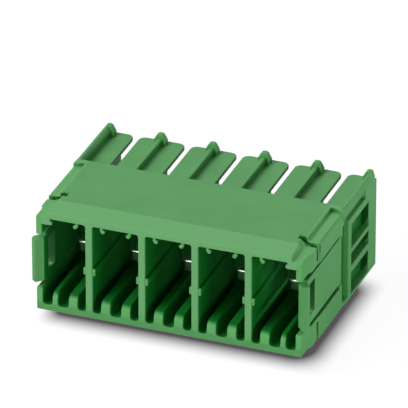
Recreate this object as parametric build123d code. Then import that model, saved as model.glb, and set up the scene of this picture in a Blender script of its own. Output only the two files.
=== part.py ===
from build123d import *
from math import cos, radians, sin
import os

os.makedirs("parts", exist_ok=True)

# Lengths in mm. X runs along the row, the mating face is y = 0 and the board face is z = 0.

# Row of positions
POSITIONS = 5
PITCH = 7.62
ROW_HALF = POSITIONS * PITCH / 2
CENTRES = [PITCH * (k - (POSITIONS - 1) / 2) for k in range(POSITIONS)]
PITCH_LINES = [PITCH * k - ROW_HALF for k in range(POSITIONS + 1)]

# Wall behind the chambers, and the overall depth
CHAMBER_DEPTH = 14.2
CHAMBER_WALL = 1.45
DEPTH = 28.1

# Top of the housing, from the lip over the chambers to the shelf over the solder tails
LIP_TOP = 15.0
LIP_INSET = 1.55
LIP_HALF = ROW_HALF - LIP_INSET
DECK_TOP = 15.2
DECK_FRONT = 3.7
DECK_REAR = CHAMBER_DEPTH + CHAMBER_WALL
DECK_INSET = 1.25
DECK_HALF = ROW_HALF - DECK_INSET
STRIP_TOP = 14.6
STRIP_END = 0.9
STRIP_END_SLOPE = 0.35
STRIP_REAR = DECK_REAR - STRIP_END
EDGE_ROUND = 0.5
SHELF_TOP = 13.3
SHELF_THICK = 0.6

# Front ears and the bent gap behind each
EAR_TOP = 14.3
EAR_REAR = 4.98
EAR_WIDTH_FRONT = 1.45
EAR_WIDTH_REAR = 1.2
EAR_SLOPE_REAR = 0.75
EAR_FOOT_FRONT = ROW_HALF - EAR_WIDTH_FRONT
EAR_FOOT_REAR = ROW_HALF - EAR_WIDTH_REAR
EAR_RISE_REAR = EAR_FOOT_REAR - EAR_SLOPE_REAR
EAR_GAP = 0.6
GAP_BEND_INSET = 1.05
GAP_BEND = ROW_HALF - GAP_BEND_INSET
GAP_FLOOR = 13.6
GAP_FOOT = 12.1
POCKET_LENGTH = 0.7
POCKET_INSET = 1.75
POCKET_OUTER = ROW_HALF - POCKET_INSET
POCKET_INNER = POCKET_OUTER - POCKET_LENGTH
POCKET_FRONT = 5.1
POCKET_REAR = 6.05

# Side walls, each face a step out from the inner face of the end chamber
END_INSET = 0.83
WALL_INNER = ROW_HALF - END_INSET
NOSE_THICK = 0.83
CHEEK_THICK = 1.18
WALL_THICK = 1.28
REAR_THICK = 1.44
WALL_NOSE = WALL_INNER + NOSE_THICK
WALL_CHEEK = WALL_INNER + CHEEK_THICK
WALL_OUTER = WALL_INNER + WALL_THICK
WALL_REAR = WALL_INNER + REAR_THICK
NOSE_REAR = 2.35
CHEEK_FRONT = 3.1
NOTCH_FRONT = 5.15
NOTCH_REAR = 5.8
NOTCH_THICK = 0.78
NOTCH_FLOOR = WALL_INNER + NOTCH_THICK
NOTCH_TOP = 2.65

# Plug chambers
DIVIDER = 0.95
FLOOR = 0.8
ROOF = 0.88
CEILING = LIP_TOP - ROOF
CORNER_ROUND = 0.4
CORNER_BLOCK_DROP = 0.92
CORNER_BLOCK_WIDTH = 1.22

# Keying rails under the chamber ceiling
KEY_OFFSET = 2.05
KEY_STEM = 0.42
KEY_DROP = 0.62
KEY_BULB = 0.29
KEY_LEAN = 0.24
KEY_FRONT = 0.15

# Guide rails half way up the dividers
GUIDE_BOTTOM = 6.5
GUIDE_TOP = 7.6
GUIDE_OUT = 0.38
GUIDE_FRONT = 0.1

# Ribs on the chamber floor
RIB_OFFSET = 1.45
RIB_WIDTH = 1.28
END_RIB_WIDTH = 0.72
RIB_TOP = 2.85
RIB_NOSE = 0.8
RIB_DROP = 1.2
RIB_NOSE_TURNS = (0, 30, 60, 90)
FOOT_ROUND = 0.5
FOOT_TURNS = (0, 30, 60, 90)

# Ridges, tabs and bays at the rear
PARTITION = 1.16
END_BAY_INSET = 1.35
END_BAY = ROW_HALF - END_BAY_INSET
RIDGE_TOP = 14.95
RIDGE_FLAT = 0.68
RIDGE_BASE = 1.9
RIDGE_SHOULDER = 1.0
RIDGE_SOFT = 0.12
RIDGE_REAR = 27.4
RIDGE_END = 0.85
BAR_HALF = 0.32
BAR_TOP = 14.35
END_RIDGE_OVERLAP = 0.55
END_RIDGE_TOP = 14.85
SLOT = 0.875
TAB_ROUND = 1.0

# Latch arms cut out of the side walls
ARM_THICK = 1.03
ARM_LIP_OUT = 0.64
ARM_LIP_LEAD = 0.66
ARM_OUTER = WALL_INNER + ARM_THICK
ARM_LIP = ARM_OUTER + ARM_LIP_OUT
ARM_LIP_EDGE = ARM_LIP - ARM_LIP_LEAD
ARM_LEAD = 1.0
ARM_LIP_FRONT = 0.5
ARM_LIP_REAR = 1.0
ARM_NECK = 1.8
ARM_BOTTOM = 3.75
ARM_TOP = 10.9
ARM_END_DROP = 0.35
ARM_END_RISE = 0.2
ARM_GAP_BELOW = 0.42
ARM_GAP_ABOVE = 0.6
ARM_ROOT_LENGTH = 0.2
ARM_ROOT = CHAMBER_DEPTH - ARM_ROOT_LENGTH
ARM_WINDOW_Y = (2.4, 4.7)
ARM_WINDOW_Z = (5.0, 9.9)

# Ladder block at the rear of each side wall
GROOVE_WIDTH = 1.25
GROOVE_DEPTH = 0.71
GROOVE_SLANT = 0.9
GROOVE_BOTTOM = 0.6
GROOVE_TOP = 12.4
POST_WIDTH = 1.2
LADDER_LENGTH = 7.0
LADDER_DEPTH = 1.16
GROOVE_FRONT = DECK_REAR
GROOVE_REAR = GROOVE_FRONT + GROOVE_WIDTH
LADDER_FRONT = GROOVE_REAR + POST_WIDTH
LADDER_REAR = LADDER_FRONT + LADDER_LENGTH
LADDER_POCKETS = [(0.42, 3.75), (4.8, 6.75), (7.5, 11.2)]
FURROW_REAR = 23.6
FURROW_BOTTOM = 12.35
FURROW_TOP = 13.85
FURROW_DEPTH = 0.62
FURROW_STEP = 0.2

# Contacts
CONTACT_WIDTH = 2.4
CONTACT_HEIGHT = 1.9
CONTACT_TOP = 7.3
CONTACT_NOSE = 7.65
CONTACT_ROUND = 0.85
CONTACT_BEVEL = 0.26
TAIL_BEHIND_WALL = 6.25
TAIL_Y = DECK_REAR + TAIL_BEHIND_WALL
TAIL = 1.3
TAIL_DROP = 3.9
TAIL_TAPER = 0.6
SHOULDER_TOP = 3.4
SHOULDER_BOTTOM = 2.4
BEND_OUTER = 1.6
BEND_INNER = 0.4

# How far cutting shapes run past a face, and joined shapes into their neighbour
PAST = 1.0
INTO = 0.1


def block(x0, x1, y0, y1, z0, z1):
    corner = Pos(min(x0, x1), y0, z0)
    return corner * Box(abs(x1 - x0), y1 - y0, z1 - z0, align=(Align.MIN, Align.MIN, Align.MIN))


def plan(points, z0, z1):
    """Solid from an outline of x and y, standing between two heights."""
    wire = Polyline(*[(x, y, z0) for x, y in points], close=True)
    return extrude(make_face(wire), z1 - z0, dir=(0, 0, 1))


def side_view(points, x0, x1):
    """Solid from an outline of y and z, lying along the row."""
    wire = Polyline(*[(x0, y, z) for y, z in points], close=True)
    return extrude(make_face(wire), x1 - x0, dir=(1, 0, 0))


def front_view(points, y0, y1):
    """Solid from an outline of x and z, running from front to rear."""
    wire = Polyline(*[(x, y0, z) for x, z in points], close=True)
    return extrude(make_face(wire), y1 - y0, dir=(0, 1, 0))


def rod(x, z, radius, y0, y1):
    """Round bar running from front to rear."""
    upright = Cylinder(radius, y1 - y0, align=(Align.CENTER, Align.CENTER, Align.MIN))
    return Pos(x, y0, z) * Rot(-90, 0, 0) * upright


def mirrored(points, side):
    return [(side * x, other) for x, other in points]


def side_wall(side):
    """Side wall with its steps as seen from above, its rounded top edge and its higher rear end."""
    inner = DECK_HALF - INTO
    outline = [
        (inner, 0),
        (WALL_NOSE, 0),
        (WALL_NOSE, NOSE_REAR),
        (WALL_CHEEK, CHEEK_FRONT),
        (WALL_CHEEK, NOTCH_REAR),
        (WALL_OUTER, NOTCH_REAR + INTO),
        (WALL_OUTER, GROOVE_FRONT),
        (inner, GROOVE_FRONT),
    ]
    wall = plan(mirrored(outline, side), 0, STRIP_TOP)
    outer = side * (WALL_OUTER + PAST)
    wall -= block(side * NOTCH_FLOOR, outer, NOTCH_FRONT, NOTCH_REAR, -PAST, NOTCH_TOP)
    axis_x = side * (WALL_OUTER - EDGE_ROUND)
    axis_z = STRIP_TOP - EDGE_ROUND
    spare = block(axis_x, outer, EAR_REAR, STRIP_REAR, axis_z, STRIP_TOP + PAST)
    wall -= spare - rod(axis_x, axis_z, EDGE_ROUND, EAR_REAR, STRIP_REAR)
    end = [
        (inner, axis_z),
        (inner, DECK_TOP),
        (WALL_OUTER - STRIP_END_SLOPE, DECK_TOP),
        (WALL_OUTER, DECK_TOP - STRIP_END_SLOPE),
        (WALL_OUTER, axis_z),
    ]
    return wall + front_view(mirrored(end, side), STRIP_REAR, DECK_REAR)


def ridge(x):
    """Bar standing on the shelf over one pitch line, with a broad rounded end."""
    flat, base = RIDGE_FLAT / 2, RIDGE_BASE / 2
    outline = [
        (x - base, SHELF_TOP - INTO),
        (x - base, RIDGE_TOP - RIDGE_SHOULDER),
        (x - flat - RIDGE_SOFT, RIDGE_TOP - RIDGE_SOFT),
        (x - flat + RIDGE_SOFT, RIDGE_TOP),
        (x + flat - RIDGE_SOFT, RIDGE_TOP),
        (x + flat + RIDGE_SOFT, RIDGE_TOP - RIDGE_SOFT),
        (x + base, RIDGE_TOP - RIDGE_SHOULDER),
        (x + base, SHELF_TOP - INTO),
    ]
    bar = block(x - BAR_HALF, x + BAR_HALF, DECK_REAR - INTO, RIDGE_REAR, SHELF_TOP - INTO, BAR_TOP)
    return bar + front_view(outline, RIDGE_REAR - RIDGE_END, RIDGE_REAR)


def end_ridge(side):
    """Bar over an end wall, its outer flank running into the wall, with a broad rounded end."""
    flat, base = RIDGE_FLAT / 2, RIDGE_BASE / 2
    outline = [
        (ROW_HALF - base, SHELF_TOP - INTO),
        (ROW_HALF - base, RIDGE_TOP - RIDGE_SHOULDER),
        (ROW_HALF - flat - RIDGE_SOFT, RIDGE_TOP - RIDGE_SOFT),
        (ROW_HALF - flat + RIDGE_SOFT, RIDGE_TOP),
        (ROW_HALF + flat - RIDGE_SOFT, RIDGE_TOP),
        (ROW_HALF + flat, RIDGE_TOP - RIDGE_SOFT),
        (WALL_REAR, RIDGE_TOP - RIDGE_SHOULDER),
        (WALL_REAR, SHELF_TOP - INTO),
    ]
    bar = [
        (ROW_HALF - BAR_HALF, SHELF_TOP - INTO),
        (ROW_HALF - BAR_HALF, BAR_TOP),
        (ROW_HALF, END_RIDGE_TOP),
        (ROW_HALF + flat, END_RIDGE_TOP),
        (WALL_REAR, RIDGE_TOP - RIDGE_SHOULDER),
        (WALL_REAR, SHELF_TOP - INTO),
    ]
    end = front_view(mirrored(outline, side), RIDGE_REAR - RIDGE_END, RIDGE_REAR)
    return end + front_view(mirrored(bar, side), DECK_REAR - END_RIDGE_OVERLAP, RIDGE_REAR)


def chamber(left, right):
    """Hollow of one plug chamber, rounded in its corners."""
    outline = RectangleRounded(right - left, CEILING - FLOOR, CORNER_ROUND)
    start = Pos((left + right) / 2, -PAST, (FLOOR + CEILING) / 2) * Rot(-90, 0, 0)
    return start * extrude(outline, PAST + CHAMBER_DEPTH)


def key_rail(x, lean):
    """Rail under the ceiling, its rounded foot leaning to the middle of the chamber."""
    foot_z = CEILING - KEY_DROP
    stem = block(x - KEY_STEM / 2, x + KEY_STEM / 2, KEY_FRONT, CHAMBER_DEPTH + INTO, foot_z, CEILING + INTO)
    foot = rod(x + lean * KEY_LEAN, foot_z, KEY_BULB, KEY_FRONT, CHAMBER_DEPTH + INTO)
    return stem + foot


def guide_rail(x0, x1):
    return block(x0, x1, GUIDE_FRONT, CHAMBER_DEPTH + INTO, GUIDE_BOTTOM, GUIDE_TOP)


def floor_rib(x, width):
    """Rib along the chamber floor with a nose that leans back."""
    nose = []
    for turn in RIB_NOSE_TURNS:
        back = RIB_NOSE * (1 - cos(radians(turn)))
        down = RIB_DROP * (1 - sin(radians(turn)))
        nose.append((back, RIB_TOP - down))
    rear = CHAMBER_DEPTH + INTO
    outline = [(0, FLOOR - INTO), *nose, (rear, RIB_TOP), (rear, FLOOR - INTO)]
    return side_view(outline, x - width / 2, x + width / 2)


def foot_round(x, turn):
    """Hollow rounding between the floor and an upright face that looks to the side of the turn."""
    into, reach = x - turn * INTO, x + turn * FOOT_ROUND
    outline = [(into, FLOOR + FOOT_ROUND), (into, FLOOR - INTO), (reach, FLOOR - INTO)]
    for angle in FOOT_TURNS:
        across = FOOT_ROUND * (1 - sin(radians(angle)))
        rise = FOOT_ROUND * (1 - cos(radians(angle)))
        outline.append((x + turn * across, FLOOR + rise))
    return front_view(outline, 0, CHAMBER_DEPTH + INTO)


def corner_block(side):
    """Thicker corner under each front ear, which carries the outer keying rail."""
    inner = side * (WALL_INNER - CORNER_BLOCK_WIDTH)
    low = CEILING - CORNER_BLOCK_DROP
    body = block(inner, side * (WALL_INNER + INTO), 0, CHAMBER_DEPTH + INTO, low, CEILING + INTO)
    return body + rod(inner, low + KEY_BULB, KEY_BULB, 0, CHAMBER_DEPTH + INTO)


def arm_front(side):
    """Front end of a latch arm up to its window, with the lip that stands out of the wall."""
    outline = [
        (WALL_INNER, ARM_LEAD),
        (ARM_LIP_EDGE, 0),
        (ARM_LIP, ARM_LIP_FRONT),
        (ARM_LIP, ARM_LIP_REAR),
        (ARM_OUTER, ARM_NECK),
        (ARM_OUTER, CHEEK_FRONT),
        (WALL_INNER, CHEEK_FRONT),
    ]
    arm = plan(mirrored(outline, side), ARM_BOTTOM, ARM_TOP)
    inner, outer = side * (WALL_INNER - PAST), side * (ARM_OUTER + PAST)
    arm -= block(inner, outer, -PAST, ARM_NECK, ARM_TOP - ARM_END_DROP, ARM_TOP + PAST)
    arm -= block(inner, outer, -PAST, ARM_NECK, ARM_BOTTOM - PAST, ARM_BOTTOM + ARM_END_RISE)
    return arm - block(inner, outer, *ARM_WINDOW_Y, *ARM_WINDOW_Z)


def arm_cuts(side):
    """Slots above and below a latch arm, its window and the room for its front end."""
    inner = side * (WALL_INNER - INTO)
    outer = side * (WALL_REAR + PAST)
    cuts = block(inner, outer, -PAST, ARM_ROOT, ARM_TOP, ARM_TOP + ARM_GAP_ABOVE)
    cuts += block(inner, outer, -PAST, ARM_ROOT, ARM_BOTTOM - ARM_GAP_BELOW, ARM_BOTTOM)
    cuts += block(inner, outer, -PAST, ARM_NECK, ARM_BOTTOM - INTO, ARM_TOP + INTO)
    cuts += block(side * ARM_OUTER, outer, -PAST, GROOVE_FRONT + INTO, ARM_BOTTOM - INTO, ARM_TOP + INTO)
    cuts += block(inner, outer, *ARM_WINDOW_Y, *ARM_WINDOW_Z)
    return cuts


def ear_section(side, y, rise, foot):
    """Outline of the air over a front ear, with the slope that leads up to the lip."""
    outer, top = WALL_REAR + PAST, DECK_TOP + PAST
    slope = (rise - foot) / (DECK_TOP - EAR_TOP)
    points = [(foot, EAR_TOP), (rise + slope * PAST, top), (outer, top), (outer, EAR_TOP)]
    return make_face(Polyline(*[(side * x, y, z) for x, z in points], close=True))


def ear_cuts(side):
    """Step down to a front ear, and the bent gap behind it that ends in a pocket."""
    outer, top = WALL_REAR + PAST, DECK_TOP + PAST
    rear = EAR_REAR + EAR_GAP
    front_end = ear_section(side, 0, LIP_HALF, EAR_FOOT_FRONT)
    rear_end = ear_section(side, rear, EAR_RISE_REAR, EAR_FOOT_REAR)
    cuts = extrude(front_end, PAST, dir=(0, -1, 0)) + loft([front_end, rear_end], ruled=True)
    gap = [
        (outer, EAR_REAR),
        (GAP_BEND, EAR_REAR),
        (POCKET_OUTER, POCKET_FRONT + INTO),
        (POCKET_OUTER, POCKET_FRONT),
        (POCKET_INNER, POCKET_FRONT),
        (POCKET_INNER, POCKET_REAR),
        (POCKET_OUTER, POCKET_REAR),
        (GAP_BEND, rear),
        (outer, rear),
    ]
    cuts += plan(mirrored(gap, side), GAP_FLOOR, top)
    cuts += block(side * WALL_INNER, side * outer, EAR_REAR, rear, GAP_FOOT, top)
    return cuts


def ladder_cuts(side):
    """Upright groove, ladder pockets and furrow of a rear side wall."""
    outer = side * (WALL_REAR + PAST)
    floor = WALL_REAR - GROOVE_DEPTH
    groove = [
        (floor, GROOVE_FRONT - INTO),
        (WALL_REAR, GROOVE_FRONT - INTO - GROOVE_SLANT),
        (WALL_REAR + PAST, GROOVE_FRONT - INTO - GROOVE_SLANT),
        (WALL_REAR + PAST, GROOVE_REAR),
        (floor, GROOVE_REAR),
    ]
    cuts = plan(mirrored(groove, side), GROOVE_BOTTOM, GROOVE_TOP)
    floor = side * (WALL_REAR - LADDER_DEPTH)
    for z0, z1 in LADDER_POCKETS:
        cuts += block(floor, outer, LADDER_FRONT, LADDER_REAR, z0, z1)
    furrow = [
        (WALL_REAR, FURROW_TOP),
        (WALL_REAR - FURROW_DEPTH, FURROW_BOTTOM + FURROW_STEP),
        (WALL_REAR - FURROW_DEPTH, FURROW_BOTTOM),
        (WALL_REAR + PAST, FURROW_BOTTOM),
        (WALL_REAR + PAST, FURROW_TOP),
    ]
    cuts += front_view(mirrored(furrow, side), GROOVE_FRONT - INTO, FURROW_REAR)
    return cuts


def tab_corner(x, turn):
    """Waste at the rear corner of a tab beside a slot."""
    edge = DEPTH - TAB_ROUND
    low, high = SHELF_TOP - SHELF_THICK - PAST, SHELF_TOP + PAST
    square = block(x, x + turn * TAB_ROUND, edge, DEPTH + PAST, low, high)
    disc = Pos(x + turn * TAB_ROUND, edge, SHELF_TOP) * Cylinder(TAB_ROUND, 4 * PAST)
    return square - disc


def make_housing():
    deck = [(0, 0), (0, LIP_TOP), (DECK_FRONT, DECK_TOP), (DECK_REAR, DECK_TOP), (DECK_REAR, 0)]
    body = side_view(deck, -DECK_HALF, DECK_HALF)
    body += block(-WALL_REAR, WALL_REAR, DECK_REAR - INTO, DEPTH, 0, SHELF_TOP)
    for side in (-1, 1):
        body += side_wall(side) + end_ridge(side)
    for x in PITCH_LINES[1:-1]:
        body += ridge(x)

    for k, centre in enumerate(CENTRES):
        first, last = k == 0, k == POSITIONS - 1
        left = -WALL_INNER if first else PITCH_LINES[k] + DIVIDER / 2
        right = WALL_INNER if last else PITCH_LINES[k + 1] - DIVIDER / 2
        body -= chamber(left, right)
        left = -END_BAY if first else PITCH_LINES[k] + PARTITION / 2
        right = END_BAY if last else PITCH_LINES[k + 1] - PARTITION / 2
        body -= block(left, right, DECK_REAR, DEPTH + PAST, -PAST, SHELF_TOP - SHELF_THICK)
        left, right = centre - SLOT / 2, centre + SLOT / 2
        body -= block(left, right, DECK_REAR, DEPTH + PAST, SHELF_TOP - SHELF_THICK - PAST, DECK_TOP)
        body -= tab_corner(left, -1) + tab_corner(right, 1)
        body -= contact_blank(centre)

    for side in (-1, 1):
        body -= arm_cuts(side) + ear_cuts(side) + ladder_cuts(side)
        body += arm_front(side) + corner_block(side)

    for k, centre in enumerate(CENTRES):
        for turn in (-1, 1):
            outermost = centre * turn > CENTRES[-1] - INTO
            width = END_RIB_WIDTH if outermost else RIB_WIDTH
            shift = (RIB_WIDTH - END_RIB_WIDTH) / 2 if outermost else 0
            rib = centre + turn * (RIB_OFFSET - shift)
            body += floor_rib(rib, width)
            body += foot_round(rib - width / 2, -1) + foot_round(rib + width / 2, 1)
            upright = turn * WALL_INNER if outermost else centre + turn * (PITCH - DIVIDER) / 2
            body += foot_round(upright, -turn)
            if not outermost:
                body += key_rail(centre + turn * KEY_OFFSET, -turn)
    for x in PITCH_LINES[1:-1]:
        body += guide_rail(x - DIVIDER / 2 - GUIDE_OUT, x + DIVIDER / 2 + GUIDE_OUT)
    return body


def contact_blank(centre):
    """Straight bar as wide and high as a contact, through the wall behind the chamber."""
    low = CONTACT_TOP - CONTACT_HEIGHT
    return block(
        centre - CONTACT_WIDTH / 2,
        centre + CONTACT_WIDTH / 2,
        CHAMBER_DEPTH - PAST,
        DECK_REAR + PAST,
        low,
        CONTACT_TOP,
    )


def make_contact(centre):
    """Contact bar with a rounded, bevelled nose, bent down to a narrower solder tail."""
    left, right = centre - CONTACT_WIDTH / 2, centre + CONTACT_WIDTH / 2
    low = CONTACT_TOP - CONTACT_HEIGHT
    rear = TAIL_Y + TAIL / 2
    front = TAIL_Y - TAIL / 2
    outline = [
        (CONTACT_NOSE, low),
        (CONTACT_NOSE, CONTACT_TOP),
        (rear, CONTACT_TOP),
        (rear, -TAIL_DROP),
        (front, -TAIL_DROP),
        (front, low),
    ]
    bar = side_view(outline, left, right)
    for y, z, radius in ((rear, CONTACT_TOP, BEND_OUTER), (front, low, BEND_INNER)):
        corner = bar.edges().filter_by(Axis.X).sort_by_distance((centre, y, z))[0]
        bar = fillet(corner, radius)
    corners = bar.edges().filter_by(Axis.Z).sort_by(Axis.Y)[:2]
    bar = fillet(corners, CONTACT_ROUND)
    nose = [edge for edge in bar.edges() if edge.center().Y < CONTACT_NOSE + CONTACT_ROUND / 2]
    bar = chamfer([edge for edge in nose if edge.bounding_box().size.Z < INTO], CONTACT_BEVEL)
    for turn in (-1, 1):
        flank = [
            (CONTACT_WIDTH / 2 + PAST, SHOULDER_TOP),
            (CONTACT_WIDTH / 2, SHOULDER_TOP),
            (TAIL / 2, SHOULDER_BOTTOM),
            (TAIL / 2, TAIL_TAPER - TAIL_DROP),
            (TAIL / 4, -TAIL_DROP),
            (TAIL / 4, -TAIL_DROP - PAST),
            (CONTACT_WIDTH / 2 + PAST, -TAIL_DROP - PAST),
        ]
        bar -= front_view([(centre + turn * x, z) for x, z in flank], front - PAST, rear + PAST)
    return bar


export_step(make_housing(), "parts/housing.step")
for k, centre in enumerate(CENTRES):
    export_step(make_contact(centre), f"parts/contact_{k + 1}.step")
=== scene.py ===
import bpy
import bmesh
import numpy as np
from math import radians, sin, cos
from mathutils import Matrix, Vector


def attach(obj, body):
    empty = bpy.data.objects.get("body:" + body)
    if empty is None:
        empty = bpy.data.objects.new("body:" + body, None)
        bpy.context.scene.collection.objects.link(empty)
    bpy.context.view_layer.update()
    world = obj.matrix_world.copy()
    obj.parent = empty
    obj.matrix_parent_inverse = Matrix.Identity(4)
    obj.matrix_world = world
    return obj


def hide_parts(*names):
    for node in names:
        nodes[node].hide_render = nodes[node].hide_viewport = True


# Right-angle pin header: one green moulding and five tin-plated contacts.
# Metres; the mating face is y = 0, the board face z = 0 and x runs along the row.

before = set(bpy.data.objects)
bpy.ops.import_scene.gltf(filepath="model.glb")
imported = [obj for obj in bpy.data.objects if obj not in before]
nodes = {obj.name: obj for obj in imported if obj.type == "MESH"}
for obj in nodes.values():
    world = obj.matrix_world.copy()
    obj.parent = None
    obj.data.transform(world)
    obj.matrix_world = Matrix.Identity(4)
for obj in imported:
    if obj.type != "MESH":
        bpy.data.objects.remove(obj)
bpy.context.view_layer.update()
print("frame loaded:", ", ".join(sorted(nodes)))


# small helpers

def srgbToLinear(hexColour):
    parts = [int(hexColour[i:i + 2], 16) / 255 for i in (1, 3, 5)]
    linear = [c / 12.92 if c <= 0.04045 else ((c + 0.055) / 1.055) ** 2.4 for c in parts]
    return (*linear, 1.0)


def addNode(tree, kind, settings=None, links=None):
    # settings: property or socket -> value; links: input socket -> output socket
    node = tree.nodes.new(kind)
    for key, value in (settings or {}).items():
        if isinstance(key, str) and hasattr(node, key):
            setattr(node, key, value)
        else:
            node.inputs[key].default_value = value
    for key, source in (links or {}).items():
        tree.links.new(source, node.inputs[key])
    return node


def colourRamp(tree, source, stops):
    # stops: (position, colour) from dark to light
    node = addNode(tree, "ShaderNodeValToRGB", {}, {"Fac": source})
    ramp = node.color_ramp
    while len(ramp.elements) < len(stops):
        ramp.elements.new(0.5)
    for element, (place, colour) in zip(ramp.elements, stops):
        element.position = place
        element.color = colour if len(colour) == 4 else (*colour, 1.0)
    return node


def newMaterial(name):
    material = bpy.data.materials.new(name)
    material.use_nodes = True
    material.node_tree.nodes.clear()
    return material, material.node_tree


# room beside each sharp edge: the distance to the nearest other sharp edge of the same face, where an
# inward edge keeps its place and so leaves more of that distance

def edgeRoom(face, sharp, shares):
    ends = np.array([[loop.vert.co[:], loop.link_loop_next.vert.co[:]] for loop in face.loops])
    edges = [loop.edge for loop in face.loops]
    count = len(edges)
    turns = (ends[:, 1] - ends[:, 0]) / np.maximum(np.linalg.norm(ends[:, 1] - ends[:, 0], axis=1), 1e-12)[:, None]
    along = np.linspace(0, 1, 7)[:, None]
    room = {}
    for i in range(count):
        if edges[i] not in sharp or not edges[i].is_convex:
            continue
        probe = ends[i, 0] + (ends[i, 1] - ends[i, 0]) * along
        for j in range(count):
            gap = min((i - j) % count, (j - i) % count)
            if gap <= 1 or edges[j] not in sharp:
                continue
            if gap <= 3 and np.dot(turns[i], turns[j]) > 0.3:
                continue
            span = ends[j, 1] - ends[j, 0]
            place = np.clip(((probe - ends[j, 0]) @ span) / max(span @ span, 1e-18), 0, 1)
            near = np.linalg.norm(probe - (ends[j, 0] + place[:, None] * span), axis=1).min()
            near *= shares[0] if edges[j].is_convex else shares[1]
            room[edges[i]] = min(room.get(edges[i], 1.0), near)
    return room


# edges that run on from one another nearly straight get one rounding, or their corners would spike

def evenRoom(sharp, room):
    chain = {edge: edge for edge in sharp}

    def first(edge):
        while chain[edge] is not edge:
            edge = chain[edge]
        return edge

    for edge in sharp:
        for vert in edge.verts:
            for other in vert.link_edges:
                if other is edge or other not in chain:
                    continue
                here = (edge.other_vert(vert).co - vert.co).normalized()
                there = (other.other_vert(vert).co - vert.co).normalized()
                if here.dot(there) < -0.75:
                    chain[first(edge)] = first(other)
    smallest = {}
    for edge in sharp:
        key = first(edge)
        smallest[key] = min(smallest.get(key, 1.0), room.get(edge, 1.0))
    return {edge: smallest[first(edge)] for edge in sharp}


# whether an edge lies in a box of |x|, y and z, where the rounding stays small

def within(edge, box):
    return all(low <= value <= high for vert in edge.verts
               for value, (low, high) in zip((abs(vert.co.x), vert.co.y, vert.co.z), box))


# one piece made from a CAD node: its triangles are merged into whole faces, then the outward edges are
# rounded, each by no more than the room beside it allows, and inward corners stay crisp

def roundedCopy(node, name, settings):
    mesh = nodes[node].data.copy()
    mesh.name = name
    piece = bpy.data.objects.new(name, mesh)
    bpy.context.scene.collection.objects.link(piece)
    work = bmesh.new()
    work.from_mesh(mesh)
    bmesh.ops.remove_doubles(work, verts=work.verts, dist=settings["weld"])
    bmesh.ops.dissolve_degenerate(work, edges=work.edges, dist=settings["weld"])
    bmesh.ops.dissolve_limit(work, angle_limit=radians(settings["flat"]), verts=work.verts, edges=work.edges)
    bmesh.ops.recalc_face_normals(work, faces=work.faces)
    weights = work.edges.layers.float.new("bevel_weight_edge")
    sharp = {e for e in work.edges if len(e.link_faces) == 2 and e.calc_face_angle() > radians(settings["sharp"])}
    room = {}
    for face in work.faces:
        face.smooth = True
        for edge, near in edgeRoom(face, sharp, settings["shares"]).items():
            room[edge] = min(room.get(edge, 1.0), near)
    for edge in sharp:
        edge.smooth = edge.is_convex
    outward = {edge for edge in sharp if edge.is_convex}
    for edge, near in evenRoom(outward, room).items():
        if any(within(edge, box) for box in settings["crisp"]):
            near = min(near, settings["crispRound"])
        edge[weights] = min(1.0, near / settings["round"])
    work.to_mesh(mesh)
    print(name, "faces", len(work.faces), "open edges", sum(1 for e in work.edges if len(e.link_faces) != 2))
    work.free()
    bevel = piece.modifiers.new("edges", "BEVEL")
    bevel.limit_method = "WEIGHT"
    bevel.width = settings["round"]
    bevel.segments = settings["steps"]
    bevel.use_clamp_overlap = False
    bevel.miter_outer = "MITER_ARC"
    normals = piece.modifiers.new("normals", "WEIGHTED_NORMAL")
    normals.keep_sharp = True
    normals.weight = 80
    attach(piece, "root")
    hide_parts(node)
    return piece


# Moulded polyamide: green nylon, most likely glass-filled as such headers are. The mould leaves a satin green
# with a fine grain, faint flow clouds and tiny pale specks of fibre. The zones of colour are matched to the photo
# and are painted light and shade: a painted highlight on the rim, the strips and the mating face, and painted
# shade on the fronts of the foot and arms, in the chambers, on the rib tops, in the arm windows, grooves and pockets
# and in the creases.

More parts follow.
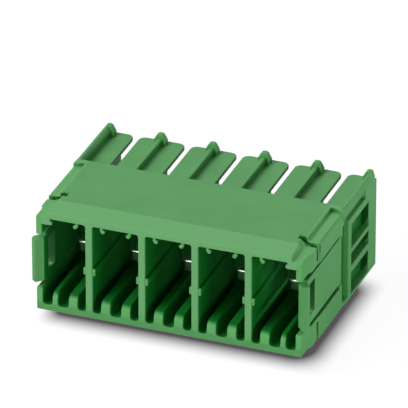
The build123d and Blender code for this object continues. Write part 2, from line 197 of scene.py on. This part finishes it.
def polyamideMaterial(look):
    material, tree = newMaterial("moulded_polyamide")
    place = addNode(tree, "ShaderNodeTexCoord").outputs["Object"]
    axes = addNode(tree, "ShaderNodeSeparateXYZ", {}, {"Vector": place})

    def step(source, start, end):
        # 0 below start and 1 above end, or the other way round
        node = addNode(tree, "ShaderNodeMapRange", {"interpolation_type": "SMOOTHSTEP", "From Min": min(start, end),
                                                    "From Max": max(start, end), "To Min": float(start > end),
                                                    "To Max": float(start < end)}, {"Value": source})
        return node.outputs["Result"]

    def both(first, second):
        return addNode(tree, "ShaderNodeMath", {"operation": "MULTIPLY"}, {0: first, 1: second}).outputs[0]

    def span(source, low, high):
        # 1 between low and high
        soft = look["soft"]
        return both(step(source, low - soft, low + soft), step(source, high + soft, high - soft))

    def blendColour(share, below, above):
        node = addNode(tree, "ShaderNodeMix", {"data_type": "RGBA"})
        for socket, value in ((0, share), (6, below), (7, above)):
            if isinstance(value, bpy.types.NodeSocket):
                tree.links.new(value, node.inputs[socket])
            else:
                node.inputs[socket].default_value = value
        return node.outputs[2]

    cloud = addNode(tree, "ShaderNodeTexNoise", {"Scale": 1000 / look["cloudMm"], "Detail": 3.0,
                                                 "Roughness": 0.55}, {"Vector": place})
    satin = colourRamp(tree, cloud.outputs["Fac"], [(0.3, srgbToLinear(look["deep"])),
                                                    (0.7, srgbToLinear(look["light"]))]).outputs["Color"]
    facing = addNode(tree, "ShaderNodeSeparateXYZ", {},
                     {"Vector": addNode(tree, "ShaderNodeNewGeometry").outputs["Normal"]})
    upward = step(facing.outputs["Z"], *look["upward"])
    across = addNode(tree, "ShaderNodeMath", {"operation": "ABSOLUTE"}, {0: axes.outputs["X"]}).outputs[0]
    # the rim: top side in front of the line on the deck, given a painted highlight
    onTop = step(axes.outputs["Z"], *look["rimLow"])
    paintedRimLight = both(span(axes.outputs["Y"], *look["rimDepth"]), onTop)
    outside = blendColour(paintedRimLight, satin, srgbToLinear(look["paintedRimLight"]))
    # the strips over both ends, given a painted highlight
    paintedStripLight = both(both(step(across, *look["stripSide"]), upward), step(axes.outputs["Z"], *look["stripLow"]))
    paintedStripLight = both(paintedStripLight, step(axes.outputs["Y"], *look["stripRear"]))
    outside = blendColour(paintedStripLight, outside, srgbToLinear(look["paintedStripLight"]))
    # painted shade on the fronts of the foot and of the arms
    ends = both(step(across, *look["armSide"]), span(axes.outputs["Z"], *look["armHeight"]))
    low = addNode(tree, "ShaderNodeMath", {"operation": "MAXIMUM"},
                  {0: step(axes.outputs["Z"], *look["footHigh"]), 1: ends}).outputs[0]
    foot = both(step(facing.outputs["Y"], *look["frontward"]), step(axes.outputs["Y"], *look["footDepth"]))
    outside = blendColour(both(foot, low), outside, srgbToLinear(look["foot"]))
    # the mating face itself, with a painted highlight that grows paler from the foot upwards
    paintedMatingLight = both(step(axes.outputs["Y"], *look["paleDepth"]), step(axes.outputs["Z"], *look["paleLow"]))
    paintedMatingLight = both(paintedMatingLight, step(across, *look["coreSide"]))
    outside = blendColour(paintedMatingLight, outside, srgbToLinear(look["paintedPaleLight"]))
    # painted shade in the chambers: behind the mouth, between floor and ceiling, lighter towards the back
    inside = both(step(axes.outputs["Y"], *look["coreFront"]), step(across, *look["coreSide"]))
    inside = both(inside, step(axes.outputs["Z"], *look["coreLow"]))
    inside = both(inside, step(axes.outputs["Z"], *look["coreHigh"]))
    inside = both(inside, step(axes.outputs["Y"], *look["coreRear"]))
    near, far = look["coreReach"]
    depth = addNode(tree, "ShaderNodeMapRange", {"From Min": near, "From Max": far}, {"Value": axes.outputs["Y"]})
    paintedChamberShade = blendColour(depth.outputs["Result"], srgbToLinear(look["chamberShadeFront"]), srgbToLinear(look["chamberShadeBack"]))
    outside = blendColour(inside, outside, paintedChamberShade)
    # painted shade on the rib tops inside the chambers
    paintedRibShade = both(both(inside, upward), step(axes.outputs["Z"], *look["ribHigh"]))
    outside = blendColour(paintedRibShade, outside, srgbToLinear(look["paintedRibShade"]))
    # painted shade in the recesses: inner faces of the arm windows, the upright grooves and the ladder pockets, but
    # not their sills
    notUpward = addNode(tree, "ShaderNodeMath", {"operation": "SUBTRACT", 0: 1.0}, {1: upward}).outputs[0]
    recessed = None
    for (x0, x1), (y0, y1), (z0, z1) in look["recesses"]:
        part = both(span(across, x0, x1), both(span(axes.outputs["Y"], y0, y1), span(axes.outputs["Z"], z0, z1)))
        if recessed is not None:
            part = addNode(tree, "ShaderNodeMath", {"operation": "MAXIMUM"}, {0: recessed, 1: part}).outputs[0]
        recessed = part
    paintedRecessShade = blendColour(step(facing.outputs["Y"], *look["recessTurn"]), srgbToLinear(look["recessShade"]),
                             srgbToLinear(look["recessFrontShade"]))
    outside = blendColour(both(recessed, notUpward), outside, paintedRecessShade)
    speck = addNode(tree, "ShaderNodeTexNoise", {"Scale": 1000 / look["speckMm"], "Detail": 2.0}, {"Vector": place})
    speckMask = colourRamp(tree, speck.outputs["Fac"], [(0.62, (0, 0, 0)), (0.8, (1, 1, 1))])
    speckShare = addNode(tree, "ShaderNodeMath", {"operation": "MULTIPLY", 1: look["speckShare"]},
                         {0: speckMask.outputs["Color"]}).outputs[0]
    freckled = blendColour(speckShare, outside, srgbToLinear(look["fibre"]))
    # painted shade in creases and hollows, found by ambient occlusion and weaker on upward faces
    hollow = addNode(tree, "ShaderNodeAmbientOcclusion", {"samples": 8, "Distance": look["creaseMm"] / 1000})
    paintedCreaseShade = step(hollow.outputs["AO"], look["creaseOpen"], look["creaseShut"])
    sideways = addNode(tree, "ShaderNodeMapRange", {"To Min": 1 - look["creaseUpward"]}, {"Value": notUpward})
    paintedCreaseShade = both(paintedCreaseShade, sideways.outputs["Result"])
    # the open rear part and the chambers keep a small share of this painted shade
    begin, full = look["rearFrom"]
    rearShare = addNode(tree, "ShaderNodeMapRange", {"From Min": begin, "From Max": full, "To Min": 1.0,
                                                     "To Max": look["creaseRear"]}, {"Value": axes.outputs["Y"]})
    paintedCreaseShade = both(paintedCreaseShade, rearShare.outputs["Result"])
    coreShare = addNode(tree, "ShaderNodeMapRange", {"To Min": 1.0, "To Max": look["creaseCore"]}, {"Value": inside})
    paintedCreaseShade = both(paintedCreaseShade, coreShare.outputs["Result"])
    colour = blendColour(paintedCreaseShade, freckled, srgbToLinear(look["paintedCreaseShade"]))
    grain = addNode(tree, "ShaderNodeTexNoise", {"Scale": 1000 / look["grainMm"], "Detail": 2.5,
                                                 "Roughness": 0.6}, {"Vector": place})
    gloss = addNode(tree, "ShaderNodeMapRange", {"From Min": 0.3, "From Max": 0.7, "To Min": look["roughLow"],
                                                 "To Max": look["roughHigh"]}, {"Value": grain.outputs["Fac"]})
    wave = addNode(tree, "ShaderNodeTexNoise", {"Scale": 1000 / look["waveMm"], "Detail": 1.0}, {"Vector": place})
    swell = addNode(tree, "ShaderNodeBump", {"Strength": look["waveBump"], "Distance": 0.00004},
                    {"Height": wave.outputs["Fac"]})
    bump = addNode(tree, "ShaderNodeBump", {"Strength": look["grainBump"], "Distance": 0.00001},
                   {"Height": grain.outputs["Fac"], "Normal": swell.outputs["Normal"]})
    shader = addNode(tree, "ShaderNodeBsdfPrincipled", {"IOR": 1.46, "Specular IOR Level": look["specular"]},
                     {"Base Color": colour, "Roughness": gloss.outputs["Result"],
                      "Normal": bump.outputs["Normal"]})
    addNode(tree, "ShaderNodeOutputMaterial", {}, {"Surface": shader.outputs["BSDF"]})
    return material


# Tin plating on stamped copper alloy: bright silver with fine streaks along the bar from the rolled strip
# and a soft uneven sheen, so that its edges glint in the dark chambers. The nose is duller, and its dark green,
# as the photo shows on it, is painted shade with a painted reflection of the green chamber, so that only the
# bevelled edge over it is bright.

def tinMaterial(look):
    material, tree = newMaterial("tin_plated_copper_alloy")
    place = addNode(tree, "ShaderNodeTexCoord").outputs["Object"]
    along = addNode(tree, "ShaderNodeMapping", {"Scale": (1.0, 0.06, 1.0)}, {"Vector": place})
    streak = addNode(tree, "ShaderNodeTexNoise", {"Scale": 1000 / look["streakMm"], "Detail": 3.0},
                     {"Vector": along.outputs["Vector"]})
    cloud = addNode(tree, "ShaderNodeTexNoise", {"Scale": 1000 / look["cloudMm"], "Detail": 2.0}, {"Vector": place})
    tone = colourRamp(tree, cloud.outputs["Fac"], [(0.3, srgbToLinear(look["deep"])),
                                                   (0.7, srgbToLinear(look["light"]))])
    gloss = addNode(tree, "ShaderNodeMapRange", {"From Min": 0.3, "From Max": 0.7, "To Min": look["roughLow"],
                                                 "To Max": look["roughHigh"]}, {"Value": streak.outputs["Fac"]})
    bump = addNode(tree, "ShaderNodeBump", {"Strength": look["bump"], "Distance": 0.000006},
                   {"Height": streak.outputs["Fac"]})
    # the nose: upright faces in front of noseRear, painted with dark green shade and a painted reflection
    facing = addNode(tree, "ShaderNodeSeparateXYZ", {},
                     {"Vector": addNode(tree, "ShaderNodeNewGeometry").outputs["Normal"]})
    tilt = addNode(tree, "ShaderNodeMath", {"operation": "ABSOLUTE"}, {0: facing.outputs["Z"]})
    upright = addNode(tree, "ShaderNodeMapRange", {"From Min": 0.1, "From Max": 0.35, "To Min": 1.0, "To Max": 0.0},
                      {"Value": tilt.outputs[0]})
    axes = addNode(tree, "ShaderNodeSeparateXYZ", {}, {"Vector": place})
    front = addNode(tree, "ShaderNodeMath", {"operation": "LESS_THAN", 1: look["noseRear"]}, {0: axes.outputs["Y"]})
    nose = addNode(tree, "ShaderNodeMath", {"operation": "MULTIPLY"},
                   {0: upright.outputs["Result"], 1: front.outputs[0]}).outputs[0]
    skin = addNode(tree, "ShaderNodeMix", {"data_type": "RGBA", 7: srgbToLinear(look["nose"])},
                   {0: nose, 6: tone.outputs["Color"]})
    dull = addNode(tree, "ShaderNodeMix", {"data_type": "FLOAT", 3: look["noseRough"]},
                   {0: nose, 2: gloss.outputs["Result"]})
    shader = addNode(tree, "ShaderNodeBsdfPrincipled", {"Metallic": 1.0},
                     {"Base Color": skin.outputs[2], "Roughness": dull.outputs[0],
                      "Normal": bump.outputs["Normal"]})
    addNode(tree, "ShaderNodeOutputMaterial", {}, {"Surface": shader.outputs["BSDF"]})
    return material


# a pair of metres, or of parts of a normal, is where a zone's border begins and where it is full
housingLook = {
    "deep": "#529b55", "light": "#5aa45d", "fibre": "#86bd86", "soft": 0.00004,
    "upward": (0.3, 0.8), "frontward": (-0.4, -0.9),
    # from here the zone colours are painted light and shade: highlights on rim, strips and mating face, shade on
    # foot, chambers, rib tops, recesses and creases
    "paintedRimLight": "#67af6a", "rimDepth": (0.00005, 0.0037), "rimLow": (0.0146, 0.0147),
    "paintedStripLight": "#60ad63", "stripSide": (0.0174, 0.0176), "stripLow": (0.0133, 0.0135), "stripRear": (0.0158, 0.0156),
    "foot": "#4f9152", "footHigh": (0.0013, 0.001), "footDepth": (0.0015, 0.0011),
    "armSide": (0.0184, 0.0186), "armHeight": (0.0037, 0.011),
    "paintedPaleLight": "#64a065", "paleLow": (0.0008, 0.003), "paleDepth": (0.00005, 0.0),
    "chamberShadeFront": "#066e1e", "chamberShadeBack": "#3aa04c", "coreReach": (0.002, 0.012), "coreFront": (0.0001, 0.0005),
    "coreSide": (0.0184, 0.0182), "coreLow": (0.0006, 0.0008), "coreHigh": (0.0143, 0.01415),
    "coreRear": (0.01445, 0.0143), "paintedRibShade": "#0f7026", "ribHigh": (0.0035, 0.0033),
    "recessShade": "#156b24", "recessFrontShade": "#0b4a18", "recessTurn": (-0.5, -0.9),
    "recesses": (((0.01826, 0.0192), (0.00235, 0.00475), (0.0049, 0.00995)),
                 ((0.0185, 0.0191), (0.0150, 0.01684), (0.0005, 0.0125)),
                 ((0.0183, 0.01952), (0.0180, 0.0253), (0.0003, 0.0113))),
    "paintedCreaseShade": "#064010", "creaseMm": 2.2, "creaseOpen": 0.78, "creaseShut": 0.34, "creaseUpward": 0.85,
    "creaseRear": 0.1, "rearFrom": (0.0155, 0.016), "creaseCore": 0.2,
    "cloudMm": 6.0, "speckMm": 0.12, "speckShare": 0.2, "grainMm": 0.09, "waveMm": 2.4, "specular": 0.28,
    "roughLow": 0.42, "roughHigh": 0.54, "grainBump": 0.3, "waveBump": 0.2,
}
# crisp: the rims of the arm windows
housingShape = {"weld": 2e-6, "flat": 0.6, "sharp": 28, "round": 0.00013, "shares": (0.42, 0.8), "steps": 2,
                "crisp": (((0.0181, 0.0193), (0.00239, 0.00471), (0.0049, 0.01)),), "crispRound": 0.00003}
housing = roundedCopy("housing", "housing_moulding", housingShape)
housing.data.materials.clear()
housing.data.materials.append(polyamideMaterial(housingLook))
print("housing done")

contactLook = {
    "deep": "#c9c8c4", "light": "#e6e5e0", "streakMm": 0.12, "cloudMm": 1.6,
    "roughLow": 0.2, "roughHigh": 0.34, "bump": 0.5,
    # the nose colour is painted shade with a painted green reflection
    "nose": "#3c6a3c", "noseRough": 0.35, "noseRear": 0.0087,
}
contactShape = {"weld": 2e-6, "flat": 0.6, "sharp": 28, "round": 0.00018, "shares": (0.42, 0.8), "steps": 2,
                "crisp": (), "crispRound": 0.0}
tin = tinMaterial(contactLook)
for k in range(1, 6):
    contact = roundedCopy(f"contact_{k}", f"contact_bar_{k}", contactShape)
    contact.data.materials.clear()
    contact.data.materials.append(tin)
print("contacts done")


# floor, light and camera

floorLook = {
    "z": -0.0039, "half": 0.6, "cardDeep": "#f1f1f3", "cardLight": "#f6f6f8", "lit": 0.12, "base": 0.94,
    # the dark colour and the four edges below are a painted shadow under the part
    "paintedShadow": (0.1, 0.086, 0.096), "duskFull": 0.64, "left": (-0.0216, -0.0178), "right": (0.0216, 0.0152),
    "front": (0.0016, 0.009), "rear": (0.0315, 0.0256),
}
floorMesh = bpy.data.meshes.new("floor")
h, z = floorLook["half"], floorLook["z"]
floorMesh.from_pydata([(-h, -h, z), (h, -h, z), (h, h, z), (-h, h, z)], [], [(0, 1, 2, 3)])
floor = bpy.data.objects.new("floor", floorMesh)
bpy.context.scene.collection.objects.link(floor)
floorMaterial, tree = newMaterial("matte_card")
fibre = addNode(tree, "ShaderNodeTexNoise", {"Scale": 400.0, "Detail": 2.0},
                {"Vector": addNode(tree, "ShaderNodeTexCoord").outputs["Object"]})
cardTone = colourRamp(tree, fibre.outputs["Fac"], [(0.3, srgbToLinear(floorLook["cardDeep"])),
                                                   (0.7, srgbToLinear(floorLook["cardLight"]))])
card = addNode(tree, "ShaderNodeBsdfPrincipled", {"Roughness": 0.9}, {"Base Color": cardTone.outputs["Color"]})
# the camera sees the card as plain white where it is open; under the part lies a painted shadow, measured from the
# photo, with four faded edges (a smooth step across each, all four multiplied); the lit share adds the shadow
# that the lamps cast
spot = addNode(tree, "ShaderNodeSeparateXYZ", {},
               {"Vector": addNode(tree, "ShaderNodeTexCoord").outputs["Object"]})
share = None
for axis, side in (("X", "left"), ("X", "right"), ("Y", "front"), ("Y", "rear")):
    begin, full = floorLook[side]
    edge = addNode(tree, "ShaderNodeMapRange", {"interpolation_type": "SMOOTHSTEP", "From Min": min(begin, full),
                                                "From Max": max(begin, full), "To Min": float(begin > full),
                                                "To Max": float(begin < full)}, {"Value": spot.outputs[axis]})
    links = {1: edge.outputs["Result"]} if share is None else {0: share, 1: edge.outputs["Result"]}
    share = addNode(tree, "ShaderNodeMath", {"operation": "MULTIPLY", 0: 1.0}, links).outputs[0]
paintedShadow = colourRamp(tree, share, [(0.0, (1, 1, 1)), (floorLook["duskFull"], floorLook["paintedShadow"])]).outputs["Color"]
litShare = addNode(tree, "ShaderNodeVectorMath", {"operation": "SCALE", "Scale": floorLook["lit"]}, {0: paintedShadow})
lit = addNode(tree, "ShaderNodeBsdfDiffuse", {}, {"Color": litShare.outputs[0]})
glow = addNode(tree, "ShaderNodeEmission", {"Strength": floorLook["base"]}, {"Color": paintedShadow})
white = addNode(tree, "ShaderNodeAddShader", {}, {0: lit.outputs[0], 1: glow.outputs[0]})
path = addNode(tree, "ShaderNodeLightPath")
shown = addNode(tree, "ShaderNodeMixShader", {}, {0: path.outputs["Is Camera Ray"], 1: card.outputs["BSDF"],
                                                  2: white.outputs[0]})
addNode(tree, "ShaderNodeOutputMaterial", {}, {"Surface": shown.outputs[0]})
floor.data.materials.append(floorMaterial)


# toward: direction from the part to the lamp; size in metres, power in watts
lamps = {
    "key": {"toward": (-0.7, -0.7, 1.0), "size": (0.35, 0.35), "watts": 2.6},
    "front_fill": {"toward": (0.5, -1.0, 0.12), "size": (0.2, 0.2), "watts": 0.5},
    "glint": {"toward": (-0.3, -0.85, 0.48), "size": (0.12, 0.12), "watts": 0.4},
    "side_fill": {"toward": (1.0, -0.3, 0.05), "size": (0.4, 0.05), "watts": 1.3},
    "rear_fill": {"toward": (0.0, 1.0, 1.0), "size": (0.3, 0.3), "watts": 0.55},
}
lampDistance = 0.6
lampAim = (0, 0.013, 0.005)


def areaLight(name, toward, size, watts):
    light = bpy.data.lights.new(name, "AREA")
    light.shape = "RECTANGLE"
    light.size, light.size_y = size
    light.energy = watts
    holder = bpy.data.objects.new(name, light)
    direction = Vector(toward).normalized()
    holder.location = Vector(lampAim) + direction * lampDistance
    holder.rotation_euler = direction.to_track_quat("Z", "Y").to_euler()
    bpy.context.scene.collection.objects.link(holder)


for name, lamp in lamps.items():
    areaLight(name, **lamp)

# the world lights the part faintly; the camera, glass and metal see it as plain white
world = bpy.data.worlds.new("studio")
bpy.context.scene.world = world
world.use_nodes = True
tree = world.node_tree
tree.nodes.clear()
path = addNode(tree, "ShaderNodeLightPath")
seen = addNode(tree, "ShaderNodeMath", {"operation": "MAXIMUM"},
               {0: path.outputs["Is Camera Ray"], 1: path.outputs["Is Transmission Ray"]})
seen = addNode(tree, "ShaderNodeMath", {"operation": "MAXIMUM"},
               {0: seen.outputs[0], 1: path.outputs["Is Glossy Ray"]})
around = addNode(tree, "ShaderNodeBackground", {"Color": (0.92, 0.94, 1.0, 1.0), "Strength": 0.1})
backdrop = addNode(tree, "ShaderNodeBackground", {"Color": (1, 1, 1, 1), "Strength": 1.0})
mixed = addNode(tree, "ShaderNodeMixShader", {}, {0: seen.outputs[0], 1: around.outputs[0], 2: backdrop.outputs[0]})
addNode(tree, "ShaderNodeOutputWorld", {}, {"Surface": mixed.outputs[0]})

# the photo's camera: turn and lift in degrees, lens in millimetres, place in metres
cameraLook = {"turn": 20.813, "lift": 28.42, "lens": 585.53, "place": (0.280529, -0.724402, 0.440095)}
turn, lift = radians(cameraLook["turn"]), radians(cameraLook["lift"])
backward = Vector((sin(turn) * cos(lift), -cos(turn) * cos(lift), sin(lift)))
right = Vector((cos(turn), sin(turn), 0))
up = backward.cross(right)
cameraData = bpy.data.cameras.new("camera")
cameraData.sensor_width = 36.0
cameraData.lens = cameraLook["lens"]
cameraData.clip_end = 10.0
camera = bpy.data.objects.new("camera", cameraData)
rows = [(right[k], up[k], backward[k], cameraLook["place"][k]) for k in range(3)]
camera.matrix_world = Matrix((*rows, (0, 0, 0, 1)))
bpy.context.scene.collection.objects.link(camera)
bpy.context.scene.camera = camera
bpy.context.scene.view_settings.view_transform = "Standard"
print("light and camera done")

bpy.context.view_layer.update()
